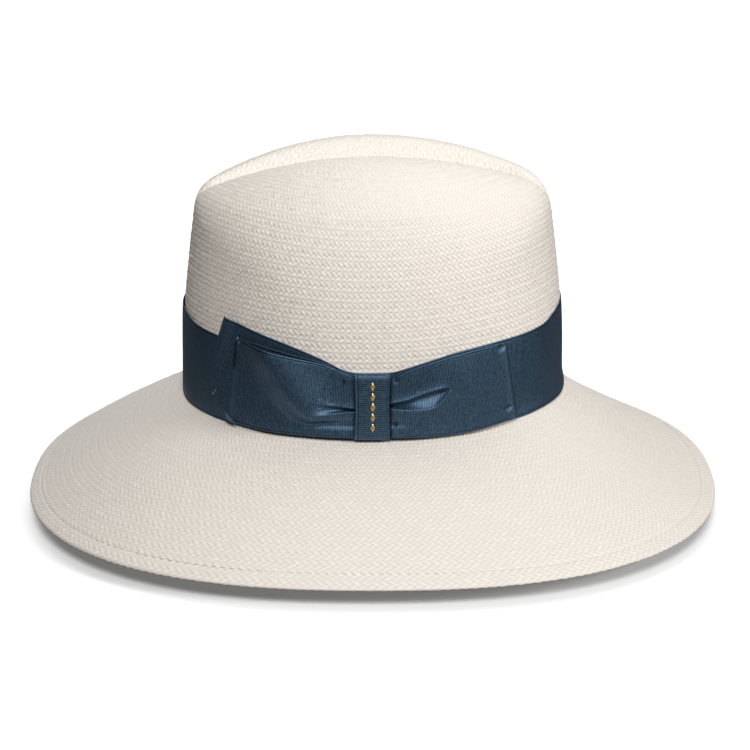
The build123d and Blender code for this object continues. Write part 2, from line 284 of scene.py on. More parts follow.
def woven(name, turn, profiles, zones, material, depth, lean, lift=None):
    """A woven skin over profiles[direction, row]. zones lists (strands, first row) from the outside in."""
    directions, rows = profiles.shape[0], profiles.shape[1] - 1
    surface = turned(profiles[..., 0], turn[:, None], profiles[..., 1])
    around = np.roll(surface, -1, axis=0) - np.roll(surface, 1, axis=0)
    inward = np.gradient(surface, axis=1)
    normal, around, inward = unit(np.cross(around, inward)), unit(around), unit(inward)
    tones = np.clip(rng.normal(0.5, 0.2, (max(z[0] for z in zones), 64, 2)), 0, 1)
    strand_of_row = np.zeros(rows + 1, int)
    for strands, first in zones:
        strand_of_row[first:] = strands
    closed = bool(np.all(profiles[:, -1, 0] < 1e-6))
    last = rows - 1 if closed else rows
    points, heights, tone_of, first_index = [], [], [], []
    total = 0
    for m in range(last + 1):
        strands = strand_of_row[m]
        n = 2 * np.arange(2 * strands) + m % 2
        at = n * directions // (4 * strands)
        height, tone = weave_relief(n, m, strands, tones, lean)
        raised = lift[m] if lift is not None else 0.0
        rough = rng.normal(0, FLOAT_ROUGHNESS, len(n))
        rough += 0.28 * (tone - 0.5) * (height > 0.5)
        slide = rng.normal(0, FLOAT_SLIDE, (2, len(n), 1))
        slide = np.clip(slide, -LARGEST_SLIDE, LARGEST_SLIDE) * (0 < m < last)
        points.append(surface[at, m] + normal[at, m] * (raised - depth * (1 - height) + rough)[:, None]
                      + around[at, m] * slide[0] + inward[at, m] * slide[1])
        heights.append(height)
        tone_of.append(tone)
        first_index.append(total)
        total += len(n)
    triangles, uv = [], []

    def add(vertices, *places):
        """Triangles from three arrays of vertices and the lattice places (n, m) of their corners."""
        triangles.append(np.stack(np.broadcast_arrays(*vertices), 1))
        uv.append(np.stack([np.stack(np.broadcast_arrays(n, m), 1) for n, m in places], 1) / 4)

    for m in range(last):
        strands, above = strand_of_row[m], strand_of_row[m + 1]
        low, high = first_index[m], first_index[m + 1]
        t = np.arange(2 * strands)
        n, wrap = 2 * t + m % 2, (t + 1) % (2 * strands)
        if strands == above and m % 2 == 0:
            add((low + t, low + wrap, high + t), (n, m), (n + 2, m), (n + 1, m + 1))
            add((high + t, low + wrap, high + wrap), (n + 1, m + 1), (n + 2, m), (n + 3, m + 1))
        elif strands == above:
            add((low + t, high + wrap, high + t), (n, m), (n + 1, m + 1), (n - 1, m + 1))
            add((low + t, low + wrap, high + wrap), (n, m), (n + 2, m), (n + 1, m + 1))
        else:
            t = np.arange(2 * above)
            n, end, wrap = 4 * t, (2 * t + 2) % (2 * strands), (t + 1) % (2 * above)
            add((low + 2 * t, low + 2 * t + 1, high + t), (n, m), (n + 2, m), (n + 2, m + 1))
            add((low + 2 * t + 1, low + end, high + t), (n + 2, m), (n + 4, m), (n + 2, m + 1))
            add((high + t, low + end, high + wrap), (n + 2, m + 1), (n + 4, m), (n + 6, m + 1))
    if closed:
        t = np.arange(2 * strand_of_row[last])
        n, start = 2 * t + last % 2, first_index[last]
        add((start + t, start + (t + 1) % len(t), total), (n, last), (n + 2, last), (n + 1, last + 1))
        points.append(surface[:1, rows])
        heights.append(np.array([0.5]))
        tone_of.append(np.array([0.5]))
    faces, uv = np.concatenate(triangles), np.concatenate(uv)
    return make_mesh(name, np.concatenate(points), faces, uv, "weave", material,
                     relief=np.concatenate(heights), tone=np.concatenate(tone_of))


# ---------------------------------------------------------------- materials
class Paint:
    """A material whose nodes are added one call at a time."""

    def __init__(self, name):
        self.material = bpy.data.materials.new(name)
        self.material.use_nodes = True
        self.tree = self.material.node_tree
        self.shader = self.tree.nodes["Principled BSDF"]

    def node(self, kind, values=(), **settings):
        node = self.tree.nodes.new(kind)
        for key, value in settings.items():
            setattr(node, key, value)
        for key, value in dict(values).items():
            if isinstance(value, bpy.types.NodeSocket):
                self.tree.links.new(value, node.inputs[key])
            else:
                node.inputs[key].default_value = value
        return node

    def math(self, operation, a, b=0.0, clamp=False):
        return self.node("ShaderNodeMath", {0: a, 1: b}, operation=operation, use_clamp=clamp).outputs[0]

    def add(self, a, b):
        return self.math("ADD", a, b)

    def times(self, a, b):
        return self.math("MULTIPLY", a, b)

    def mix(self, share, a, b):
        node = self.node("ShaderNodeMix", {0: share, 6: a, 7: b}, data_type="RGBA")
        return node.outputs[2]

    def between(self, value, low, high, to_low=0.0, to_high=1.0):
        return self.node("ShaderNodeMapRange", {0: value, 1: low, 2: high, 3: to_low, 4: to_high}).outputs[0]

    def noise(self, scale, detail=3.0, roughness=0.5, vector=None):
        place = vector or self.node("ShaderNodeTexCoord").outputs["Object"]
        node = self.node("ShaderNodeTexNoise", {"Vector": place, "Scale": scale, "Detail": detail,
                                                "Roughness": roughness})
        return node.outputs[0]

    def attribute(self, name):
        return self.node("ShaderNodeAttribute", attribute_name=name).outputs["Fac"]

    def uv(self, name):
        split = self.node("ShaderNodeSeparateXYZ",
                          {0: self.node("ShaderNodeUVMap", uv_map=name).outputs[0]})
        return split.outputs[0], split.outputs[1]

    def bump(self, height, distance, strength=1.0, normal=None):
        values = {"Height": height, "Distance": distance, "Strength": strength}
        if normal is not None:
            values["Normal"] = normal
        return self.node("ShaderNodeBump", values).outputs[0]

    def set(self, **values):
        for key, value in values.items():
            socket = self.shader.inputs[key.replace("_", " ")]
            if isinstance(value, bpy.types.NodeSocket):
                self.tree.links.new(value, socket)
            else:
                socket.default_value = value
        return self.material


def weave_nodes(paint):
    """Height of the weave between its lattice points, and coordinates along and across the floats."""
    u, v = paint.uv("weave")
    a, b = paint.add(u, v), paint.math("SUBTRACT", u, v)
    cell = paint.math("SUBTRACT", paint.math("FLOOR", a), paint.math("FLOOR", b))
    k = paint.math("FLOORED_MODULO", cell, 4.0)
    over_a = paint.math("LESS_THAN", k, 1.5)
    fa, fb = paint.math("FRACT", a), paint.math("FRACT", b)
    second_a = paint.math("COMPARE", k, 1.0)
    second_b = paint.math("COMPARE", k, 2.0)
    along_a = paint.times(paint.add(fa, second_a), 0.5)
    along_b = paint.times(paint.add(fb, second_b), 0.5)

    def pick(x, y):
        return paint.add(y, paint.times(over_a, paint.math("SUBTRACT", x, y)))

    across, along = pick(fb, fa), pick(along_a, along_b)
    rounded = paint.math("SINE", paint.times(across, pi))
    arched = paint.math("SINE", paint.times(along, pi))
    bulge = paint.add(0.45, paint.times(arched, 0.55))
    height = paint.times(paint.math("POWER", rounded, 0.5), bulge)
    return height, pick(a, b), pick(b, a)


def straw_material(name, bump_only=False, tint=1.0):
    """Bleached straw: pale floats with fine fibres along them, and gaps between them darkened as painted
    shade, most on the crown's wall.
    """
    paint = Paint(name)
    height, run, side = weave_nodes(paint)
    tone = paint.noise(330.0, 2.0) if bump_only else paint.attribute("tone")
    relief = height if bump_only else paint.attribute("relief")
    stretched = {0: paint.times(run, 0.6), 1: paint.times(side, 9.0)}
    fibre = paint.noise(1.0, 3.0, 0.6, paint.node("ShaderNodeCombineXYZ", stretched).outputs[0])
    cloud = paint.noise(22.0, 3.0, 0.55)

    def shade(r, g, b):
        return (r * tint, g * tint, b * tint, 1)

    tone = paint.between(tone, 0.15, 0.85)
    light = paint.mix(tone, shade(0.838, 0.778, 0.705), shade(0.905, 0.860, 0.800))
    light = paint.mix(paint.between(fibre, 0.35, 0.75, 0.0, 0.25), light, shade(0.755, 0.682, 0.600))
    light = paint.mix(paint.between(cloud, 0.35, 0.75, 0.0, 0.30), light, shade(0.872, 0.822, 0.752))
    # The gaps between floats are darkened as painted shade: most on the crown's wall from 75 to 142 mm up,
    # less on the brim below 45 mm and on the top above 180 mm.
    deep = paint.between(relief, 0.0, 0.6, 0.0, 1.0)
    place = paint.node("ShaderNodeTexCoord").outputs["Object"]
    level = paint.node("ShaderNodeSeparateXYZ", {0: place}).outputs[2]
    wall_shade_share, top_light_share = paint.between(level, 0.045, 0.075), paint.between(level, 0.142, 0.180)
    gap = paint.mix(wall_shade_share, shade(0.750, 0.675, 0.600), shade(0.610, 0.530, 0.455))
    gap = paint.mix(top_light_share, gap, shade(0.800, 0.735, 0.665))
    colour = paint.mix(deep, gap, light)
    normal = paint.bump(fibre, 0.00006, 0.6)
    normal = paint.bump(height, 0.0003 if bump_only else 0.00014, 1.0, normal)
    rough = paint.between(fibre, 0.3, 0.7, 0.50, 0.66)
    return paint.set(Base_Color=colour, Normal=normal, Roughness=rough, Specular_IOR_Level=0.42)


def ribbon_material(name, tint=1.0, pitch=RIB_PITCH):
    """Grosgrain: fine ribs across the ribbon, on a coordinate pair in millimetres."""
    paint = Paint(name)
    u, v = paint.uv("ribbon")

    def wave(along, length):
        swing = paint.math("SINE", paint.times(along, 2 * pi / length))
        return paint.add(0.5, paint.times(swing, 0.5))

    rib, weft = wave(u, pitch), wave(v, WEFT_PITCH)
    edge, trim = paint.attribute("edge"), paint.attribute("trim")
    grain = paint.noise(900.0, 2.0)
    cloud = paint.noise(40.0, 2.0)
    dark, base, lit = ((r * tint, g * tint, b * tint, 1) for r, g, b in
                       ((0.010, 0.021, 0.036), (0.091, 0.162, 0.250), (0.135, 0.234, 0.345)))
    # The valleys between the ribs go to near black: painted shade standing in for the ribs' own relief, which
    # is only lightly bumped.
    colour = paint.mix(paint.between(rib, 0.10, 0.80), dark, base)
    colour = paint.mix(paint.times(paint.between(grain, 0.35, 0.7), 0.40), colour, lit)
    colour = paint.mix(paint.times(paint.between(cloud, 0.3, 0.7), 0.12), colour, dark)
    # Near black along the selvedge line, and painted shade where a piece gives its own dark lines.
    colour = paint.mix(edge, colour, (0.002, 0.005, 0.009, 1))
    # Lighter blue: pale piping on the knot, and painted highlights on the bow's folds, ends and corner.
    colour = paint.mix(trim, colour, (0.130, 0.215, 0.300, 1))
    normal = paint.bump(weft, 0.00003, 0.5)
    normal = paint.bump(rib, 0.00007, 0.9, normal)
    rough = paint.between(grain, 0.3, 0.7, 0.39, 0.49)
    return paint.set(Base_Color=colour, Normal=normal, Metallic=0.82, Roughness=rough,
                     Specular_IOR_Level=0.2)


def thread_material(name, base, shade, roughness=0.55):
    """Thread, tape or plain cloth with a fine grain."""
    paint = Paint(name)
    grain = paint.noise(2600.0, 2.0, 0.6)
    colour = paint.mix(paint.between(grain, 0.3, 0.7), (*shade, 1), (*base, 1))
    return paint.set(Base_Color=colour, Normal=paint.bump(grain, 0.0001, 0.6), Roughness=roughness)


def leather_material(name, base, dark):
    paint = Paint(name)
    place = paint.node("ShaderNodeTexCoord").outputs["Object"]
    cells = paint.node("ShaderNodeTexVoronoi", {"Vector": place, "Scale": 900.0}, feature="DISTANCE_TO_EDGE")
    pores = paint.between(cells.outputs["Distance"], 0.0, 0.12)
    cloud = paint.noise(30.0, 4.0, 0.6)
    colour = paint.mix(paint.between(cloud, 0.3, 0.7), (*dark, 1), (*base, 1))
    colour = paint.mix(paint.times(paint.math("SUBTRACT", 1.0, pores), 0.35), colour, (*dark, 1))
    normal = paint.bump(pores, 0.00012, 0.5, paint.bump(cloud, 0.0008, 0.4))
    rough = paint.between(cloud, 0.3, 0.7, 0.42, 0.55)
    return paint.set(Base_Color=colour, Normal=normal, Roughness=rough)


def gilt_material(name):
    paint = Paint(name)
    grain = paint.noise(1500.0, 3.0, 0.6)
    colour = paint.mix(paint.between(grain, 0.3, 0.7), (0.55, 0.33, 0.10, 1), (0.86, 0.62, 0.28, 1))
    return paint.set(Base_Color=colour, Metallic=0.85, Roughness=paint.between(grain, 0.3, 0.7, 0.28, 0.45),
                     Normal=paint.bump(grain, 0.00004, 0.5))


# The crown's straw is tinted lighter (1.02) and the brim's darker (0.935): painted light and shade, as both
# are the same straw.
crown_skin = straw_material("straw_weave", tint=1.02)
brim_skin = straw_material("straw_weave_brim", tint=0.935)
straw_inside = straw_material("straw_reverse", bump_only=True)
ribbon_cloth = ribbon_material("ribbon_grosgrain")
white_thread = thread_material("thread_white", (0.88, 0.85, 0.82), (0.74, 0.70, 0.67))

# ---------------------------------------------------------------- woven straw
crown_turns = even_turns(4 * CROWN_STRANDS, lambda a: wall_radius(a, 140.0))
crown_shape = crown_profiles(crown_turns, CROWN_ROWS)
mean_reach = crown_shape[..., 0].mean(axis=0)
zones = [(CROWN_STRANDS, 0)]
while zones[-1][0] > THINNEST_FAN:
    strands = zones[-1][0] // 2
    row = int(np.argmax((mean_reach < 1.7 * 2 * strands / (2 * pi)) & (np.arange(CROWN_ROWS + 1) > 150)))
    zones.append((strands, row + 1 - row % 2))
crown = woven("crown_straw", crown_turns, crown_shape, zones, crown_skin, CROWN_DEPTH, CROWN_LEAN)
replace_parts(crown, "straw_crown")

brim_turns = even_turns(4 * BRIM_STRANDS, lambda a: (brim_start(a) + brim_end(a)) / 2)
brim_shape = brim_profiles(brim_turns, BRIM_ROWS)
steps = np.linalg.norm(np.diff(brim_shape.mean(axis=0), axis=0), axis=1).mean()
fold_row = int(np.argmax(brim_shape[..., 0].mean(axis=0)))
from_edge = (np.arange(BRIM_ROWS + 1) - fold_row) * steps
groove = -0.30 * np.exp(-(((from_edge - SEAM_FROM_EDGE) / 0.9) ** 2))
brim = woven("brim_straw", brim_turns, brim_shape, [(BRIM_STRANDS, 0)], brim_skin, BRIM_DEPTH, BRIM_LEAN,
             lift=groove)
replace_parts(brim, "straw_brim")


def ring_surface(name, angles, reaches, heights, material, strands, row_length):
    """A smooth skin round the hat from rows of (r, z), with weave coordinates."""
    columns, rows = len(angles), len(reaches)
    points = np.stack([turned(r, angles, z) for r, z in zip(reaches, heights)])
    length = np.concatenate([[0], np.cumsum(np.linalg.norm(np.diff(points, axis=0), axis=2).mean(axis=1))])
    faces, corners = grid_faces(columns, rows, wrap=True)
    uv = np.stack([corners[..., 0] * strands / columns, length[corners[..., 1]] / row_length], axis=-1)
    return make_mesh(name, points.reshape(-1, 3), faces, uv, "weave", material)


around = 2 * pi * np.arange(360) / 360
inner_end, outer_end = brim_start(around) - STRAW, brim_end(around) - HEM_WIDTH
reaches, heights = [], []
for share in np.linspace(0, 1, 70):
    r = inner_end + share * (outer_end - inner_end)
    reaches.append(r)
    heights.append(brim_height(around, r) - STRAW_UPRIGHT)
reaches.append(outer_end + 0.05)
heights.append(brim_height(around, outer_end) - 2 * STRAW_UPRIGHT + 0.3)
underside = ring_surface("brim_underside", around, reaches, heights, straw_inside, BRIM_STRANDS, 2.9)

inner_shape = crown_profiles(around, 150)
inner_reach, inner_height = inner_shape[..., 0].T, inner_shape[..., 1].T
surface = turned(inner_reach, around, inner_height)
sideways = np.roll(surface, -1, axis=1) - np.roll(surface, 1, axis=1)
upward = np.gradient(surface, axis=0)
outward = unit(np.cross(sideways, upward))
outward[-1] = (0, 0, 1)
lining = surface - outward * STRAW
faces, corners = grid_faces(360, 151, wrap=True, flip=True)
uv = np.stack([corners[..., 0] * CROWN_STRANDS / 360, corners[..., 1] * 205 / 150 / 2.66], axis=-1)
crown_back = make_mesh("crown_inside", lining.reshape(-1, 3), faces, uv, "weave", straw_inside)


# ---------------------------------------------------------------- stitches
def stitches(name, centres, runs, ups, length, width, height, material):
    """Small rounded bars of thread, one at each centre, along its run."""
    sides, rings = 8, np.array([-1.0, -0.93, -0.7, -0.3, 0.3, 0.7, 0.93, 1.0])
    fat = np.sqrt(np.maximum(1 - np.abs(rings) ** 5, 0.0))
    turn = 2 * pi * np.arange(sides) / sides
    points, faces, base = [], [], 0
    ring_quads, _ = grid_faces(sides, len(rings), wrap=True)
    for centre, run, up in zip(centres, runs, ups):
        run = run / np.linalg.norm(run)
        side = np.cross(up, run)
        side /= np.linalg.norm(side)
        rise = np.cross(run, side)
        dip = 0.35 * height * (1 - rings**2)
        for x, f, d in zip(rings, fat, dip):
            points.append(centre + run * x * length / 2 + rise * d
                          + np.outer(np.cos(turn) * f * width / 2, side)
                          + np.outer(np.sin(turn) * f * height / 2, rise))
        faces.append(ring_quads + base)
        base += sides * len(rings)
    return make_mesh(name, np.concatenate(points), np.concatenate(faces)[:, ::-1], material=material)


def brim_row_points(count, distance, lift):
    """Points, directions round the brim and upright directions at a distance from the edge."""
    angles = 2 * pi * (np.arange(count) + 0.5) / count
    centres, runs, ups = [], [], []
    for a in angles:
        end = brim_end(a)
        r = end - distance * 0.86

        def at(angle, reach):
            return np.array([reach * cos(angle), reach * sin(angle), float(brim_height(angle, reach))])

        here = at(a, r)
        run = at(a + 0.004, brim_end(a + 0.004) - distance * 0.86) - here
        out = at(a, r + 0.5) - here
        up = np.cross(out, run)
        up *= np.sign(up[2]) / np.linalg.norm(up)
        centres.append(here + up * lift)
        runs.append(run)
        ups.append(up)
    return centres, runs, ups


hem_places = brim_row_points(HEM_STITCHES, SEAM_FROM_EDGE, -HEM_STITCH_SINK)
hem = stitches("hem_stitches", *hem_places, *HEM_STITCH, white_thread)
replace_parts(hem, "hem_stitching")

# ---------------------------------------------------------------- ribbon band and bow
def on_wall(x, z, out):
    """The point at x and z on the bow's side of the hat, at a distance out from the straw."""
    half_length, half_width = wall_halves(z)
    share = np.minimum(np.abs(x) / (half_length + out), 1)
    return np.stack([x, -(half_width + out) * (1 - share**HEAD_FULLNESS) ** (1 / HEAD_FULLNESS), z], axis=-1)


def smooth_curve(points, share):
    """Points at shares of the way along a smooth curve through the given ones."""
    points = np.array(points, float)
    knots = np.concatenate([[0], np.cumsum(np.linalg.norm(np.diff(points, axis=0), axis=1))])
    slope = np.gradient(points, knots, axis=0)
    at = np.asarray(share) * knots[-1]
    i = np.clip(np.searchsorted(knots, at, side="right") - 1, 0, len(points) - 2)
    step = knots[i + 1] - knots[i]
    t = ((at - knots[i]) / step)[..., None]
    step = step[..., None]
    return ((2 * t**3 - 3 * t**2 + 1) * points[i] + (t**3 - 2 * t**2 + t) * step * slope[i]
            + (3 * t**2 - 2 * t**3) * points[i + 1] + (t**3 - t**2) * step * slope[i + 1])


across = np.concatenate([[0, 0.25, 0.6, 0.85, 1.05, 1.25, 1.6], np.linspace(2.1, RIBBON_WIDTH - 2.1, 110),
                         RIBBON_WIDTH - np.array([1.6, 1.25, 1.05, 0.85, 0.6, 0.25, 0])])
selvedge = np.exp(-(((np.minimum(across, RIBBON_WIDTH - across) - 1.05) / 0.22) ** 2))
edge_drop = 0.14 * selvedge + 0.16 * np.exp(-((np.minimum(across, RIBBON_WIDTH - across) / 0.3) ** 2))


def ribbon_piece(name, outer, lengths, thickness=BOW_RIBBON, wrap=False, trim=0.0, lines=None, material=None):
    """A ribbon with real thickness from outer[along, across] points. lines darkens it: the selvedge line
    unless given, painted shade where given. trim lightens it: pale piping on the knot, painted highlights on
    the bow.
    """
    columns, rows = outer.shape[:2]
    grid = outer.transpose(1, 0, 2)                       # rows across the ribbon, columns along it
    if wrap:
        run = np.roll(grid, -1, axis=1) - np.roll(grid, 1, axis=1)
    else:
        run = np.gradient(grid, axis=1)
    normal = unit(np.cross(run, np.gradient(grid, axis=0)))
    front = grid - normal * edge_drop[:, None, None]
    back = grid - normal * (thickness - 0.3 * edge_drop)[:, None, None]
    faces, corners = grid_faces(columns, rows, wrap=wrap)
    uv = np.stack([np.append(lengths, lengths[-1] + lengths[-1] - lengths[-2])[corners[..., 0]],
                   across[corners[..., 1]]], axis=-1)
    size = columns * rows
    all_faces, all_uv = [faces, faces[:, ::-1] + size], [uv, uv[:, ::-1]]
    index = np.arange(size).reshape(rows, columns)
    along = np.append(index, index[:, :1], axis=1) if wrap else index
    borders = [(along[row], lengths[:along.shape[1] - 1], across[row], row == 0) for row in (0, -1)]
    if not wrap:
        borders += [(index[:, column], lengths[column], across[:-1], column != 0) for column in (0, -1)]
    for line, u, v, swap in borders:
        low, high = (line[1:], line[:-1]) if swap else (line[:-1], line[1:])
        all_faces.append(np.stack([low, high, high + size, low + size], 1))
        corner_uv = [np.broadcast_to(np.reshape(c, (-1, 1)), (len(low), 4)) for c in (u, v)]
        all_uv.append(np.stack(corner_uv, axis=-1))
    points = np.concatenate([front.reshape(-1, 3), back.reshape(-1, 3)])

    def on_both_faces(values):
        return np.tile(np.broadcast_to(values, (columns, rows)).T.ravel(), 2)

    return make_mesh(name, points, np.concatenate(all_faces), np.concatenate(all_uv), "ribbon",
                     material or ribbon_cloth, edge=on_both_faces(selvedge if lines is None else lines),
                     trim=on_both_faces(trim))


def run_lengths(outer):
    """Distance along the middle of a ribbon."""
    middle = outer[:, outer.shape[1] // 2]
    return np.concatenate([[0], np.cumsum(np.linalg.norm(np.diff(middle, axis=0), axis=1))])


def bell(value, centre, spread):
    """One at the centre, fading to nothing on both sides."""
    return np.exp(-(((value - centre) / spread) ** 2))


def ease(value, low, high):
    """Zero below low, one above high, and smooth between."""
    t = np.clip((value - low) / (high - low), 0, 1)
    return t * t * (3 - 2 * t)


# the band, pulled down where the bow gathers it
GATHER = ((99, 104), (95.4, 101.7), (90.7, 99.2), (82.3, 98.2), (68.5, 97.2), (55.5, 95.9), (41.7, 93.8),
          (24.3, 89.1), (9.7, 84.6), (-9.7, 84.6), (-24.3, 89.1), (-41.7, 92.2), (-58.3, 94.6),
          (-68.9, 95.8), (-80.8, 96.5), (-87.5, 97.2), (-93.6, 98.2), (-99, 100.6))
band_turns = even_turns(900, lambda a: wall_radius(a, 75.0))
gather_x, gather_z = np.array(GATHER[::-1]).T
upper = break_height(band_turns) + BAND_HEIGHT + 0.25
band_x = wall_radius(band_turns, 95.0) * np.cos(band_turns)
pulled = np.interp(band_x, gather_x, gather_z)
pulled = np.convolve(np.concatenate([pulled[-6:], pulled, pulled[:6]]), np.ones(13) / 13, "valid")
upper = np.where((band_turns > pi) & (np.abs(band_x) < 99), np.minimum(upper, pulled), upper)
lower = break_height(band_turns) + 0.15
level = lower[:, None] + (upper - lower)[:, None] * across / RIBBON_WIDTH
turn = band_turns[:, None]
at_back, at_front = np.maximum(np.cos(turn), 0), np.maximum(-np.cos(turn), 0)
flare = 1.3 * bell(across, 0, 5.0) * at_back**2 + 0.6 * at_front**4
sway = 0.14 * np.sin(7 * turn + 0.8) * np.sin(pi * across / RIBBON_WIDTH)
sway = sway + 0.10 * np.sin(17 * turn + across / 9)
reach = wall_radius(turn, level, 0.62) + flare + np.maximum(sway, -0.12)
band_points = turned(reach, turn, level)
band = ribbon_piece("hatband_ribbon", band_points, run_lengths(band_points), BAND_RIBBON, wrap=True)
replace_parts(band, "hatband")


def folded_loop(name, upper_edge, lower_edge, front, back, shape, node, tack_shadow_spots):
    """A loop of ribbon: out from the knot on top, round the fold and back underneath.

    front and back are its two faces' distances from the straw, shape adds the folds, node is the
    CAD node that it replaces, and each entry of the last argument is the x, z and size of a spot
    of painted shadow round a stitch. The loop also gets painted shade along its fold and beside
    the knot, and a painted highlight just before the fold.
    """
    out_steps, fold_steps = 150, 14
    s = np.linspace(0, 1, out_steps)
    top, bottom = smooth_curve(upper_edge, s), smooth_curve(lower_edge, s)
    t = across / RIBBON_WIDTH
    flat = bottom[:, None, :] * (1 - t)[None, :, None] + top[:, None, :] * t[None, :, None]
    x, z = flat[..., 0], flat[..., 1]
    out = front(s)[:, None] + shape(x, z)
    radius = (out[-1] - back) / 2
    round_it = np.linspace(0, pi, fold_steps)[1:-1, None]
    direction = np.sign(x[-1, 0] - x[0, 0])
    fold_x = x[-1] + direction * radius * np.sin(round_it)
    fold_z = np.repeat(z[-1:], fold_steps - 2, axis=0)
    fold_out = back + radius * (1 + np.cos(round_it))
    under_x, under_z = x[::-4], z[::-4]
    xs = np.concatenate([x, fold_x, under_x])
    zs = np.concatenate([z, fold_z, under_z])
    outs = np.concatenate([out, fold_out, np.full(under_x.shape, back)])
    grid = on_wall(xs, zs, outs)
    # dark is painted shade on the loop: a line along the turn of the fold, spots of shadow round the tacks,
    # and shade beside the knot, over the selvedge line.
    turn_line = np.zeros(len(xs))
    turn_line[out_steps + 1:out_steps + fold_steps - 2] = 0.35
    dark = np.maximum(selvedge[None, :], turn_line[:, None])
    for spot_x, spot_z, size in tack_shadow_spots:
        dark = np.maximum(dark, 0.9 * bell(np.hypot(xs - spot_x, (zs - spot_z) * 0.8), 0, size))
    dark = np.maximum(dark, 0.85 * bell(np.maximum(np.abs(xs) - KNOT_EDGE, 0), 0, 0.9))
    # light is a painted highlight across the loop just before it turns over at the fold.
    light = 0.30 * bell(np.arange(len(xs)), out_steps - 3, 3.0)[:, None]
    if direction < 0:                                     # keep the outside facing outward
        grid, dark, light = grid[::-1], dark[::-1], light[::-1]
    piece = ribbon_piece(name, grid, run_lengths(grid), trim=light, lines=dark)
    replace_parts(piece, node)
    return piece, np.stack([x, z, out], axis=-1), grid


def pocket(z, over, lip, depth):
    """A gathered fold: cloth overhanging at the upper line, rising out again to a sharp lip below."""
    width = np.maximum(over - lip, 0.3)
    deep = np.minimum(2.4 / width, 0.7)                   # the part of the fold that stays deep
    reach = np.clip(((over - z) / width - deep) / (1 - deep), 0, 1)
    hollow = ease(over - z, -0.5, 0.9) * (1 - reach**1.5) * (z > lip)
    upper_crest = 0.30 * np.exp(-np.abs(z - over - 0.6) / 2.2) * (z > over)
    lower_crest = 0.22 * np.exp(-np.maximum(lip - z, 0) / 1.8) * (z <= lip)
    return depth * (upper_crest + lower_crest - hollow)


def right_shape(x, z):
    """The fold, dimple and tacks of the right loop, by x and z."""
    over = np.interp(x, [3, 9.1, 17.9, 23.3, 30.4, 36.2, 40, 44],
                     [68.6, 69.3, 71.0, 73.0, 75.3, 76.6, 76.9, 76.9])
    lip = np.interp(x, [3, 9.1, 15.6, 22.3, 28.5, 32.2, 36.3, 40, 44],
                    [67.2, 66.9, 66.2, 66.0, 66.2, 67.2, 70.6, 75.2, 76.6])
    fold = pocket(z, over, lip, 3.3 * (1 - ease(x, 33, 42)))
    dimple = -0.9 * bell(z, 58.6, 2.4) * ease(x, 3, 9) * (1 - ease(x, 12, 27))
    dimple = dimple - 0.6 * bell(x, 12.2, 1.6) * bell(z, 81.8, 1.5)
    tacks = -1.1 * bell(x, 66.8, 1.8) * bell(z, 94.6, 1.8) - 1.0 * bell(x, 71, 1.8) * bell(z, 61.5, 1.8)
    return fold + dimple + tacks + 0.5 * bell(x, 45, 16) * bell(z, 84, 12)


def left_shape(x, z):
    """The left loop: a fold beside the knot, and a roll that starts level and turns up and outward."""
    x = -x
    over = np.interp(x, [3, 9.6, 17.9, 23.6, 29.2, 36], [66.2, 66.7, 67.6, 68.2, 69.0, 70.5])
    lip = np.interp(x, [3, 9.6, 14.8, 23.6, 30.3, 36], [65.4, 65.3, 64.9, 64.1, 63.6, 63.4])
    fold = pocket(z, over, lip, 2.4 * (1 - ease(x, 10, 36)))
    roll = smooth_curve([(3, 62.6), (14, 62.2), (24.6, 61.5), (32.1, 62.0), (36.2, 64.8), (41.2, 71.1),
                         (45.2, 76.7), (49.9, 83.5), (57.1, 94.9), (62.5, 103.5)], np.linspace(0, 1, 160))
    gap_x, gap_z = x[..., None] - roll[:, 0], z[..., None] - roll[:, 1]
    nearest = np.argmin(gap_x**2 + gap_z**2, axis=-1)
    gap = np.take_along_axis(np.hypot(gap_x, gap_z), nearest[..., None], -1)[..., 0]
    heading = np.gradient(roll, axis=0)[nearest]
    foot = roll[nearest]
    above = (heading[..., 0] * (z - foot[..., 1]) - heading[..., 1] * (x - foot[..., 0])) > 0
    along = nearest / len(roll)
    rise = 0.5 + 5.6 * ease(along, 0.12, 0.45) - 2.4 * ease(along, 0.80, 1.0)
    fall = 5.0 + 8.0 * ease(along, 0.25, 0.6)
    outer_side = 1 - 1.15 * ease(gap, -1.0, fall) + 0.12 * ease(gap, fall, 28)
    wave = rise * np.where(above, bell(gap, 0, 17.0), outer_side)
    valley = -1.1 * bell(z, 57.8, 2.2) * ease(x, 4, 12) * (1 - ease(x, 28, 42))
    notch = -0.5 * bell(x, 53.8, 3.5) * bell(z, 80.5, 4)
    return fold + wave + valley + notch - 0.5 * bell(x, 70, 2.5) * bell(z, 97, 2.5) - 0.9 * ease(x, 48, 72)


loop_right, right_front, right_strip = folded_loop(
    "bow_loop_right_ribbon",
    ((3, 81.2), (8.9, 82.0), (14, 84.6), (21, 87.8), (29.4, 90.4), (50.1, 95.0), (68.3, 96.2)),
    ((3, 50.8), (11.5, 50.7), (30, 50.8), (48.9, 51.6), (74.7, 54.3)),
    lambda s: 4.5 + 0.5 * ease(s, 0.0, 0.3) - 1.5 * ease(s, 0.65, 1), 1.10, right_shape, "bow_loop_right",
    ((66.9, 94.4, 1.0), (71.2, 61.2, 1.0), (12.6, 82.0, 0.9), (12.2, 58.2, 1.1)))
loop_left, left_front, left_strip = folded_loop(
    "bow_loop_left_ribbon",
    ((-3, 81.6), (-10.6, 83.8), (-25.5, 90.0), (-38.9, 92.9), (-51.9, 95.4), (-70.8, 98.8)),
    ((-3, 50.8), (-10.6, 50.8), (-35, 50.7), (-57.6, 51.0), (-75.6, 52.6)),
    lambda s: 4.5 - 0.5 * ease(s, 0.3, 0.8), 2.1, left_shape, "bow_loop_left",
    ((-14.6, 81.2, 0.9),))

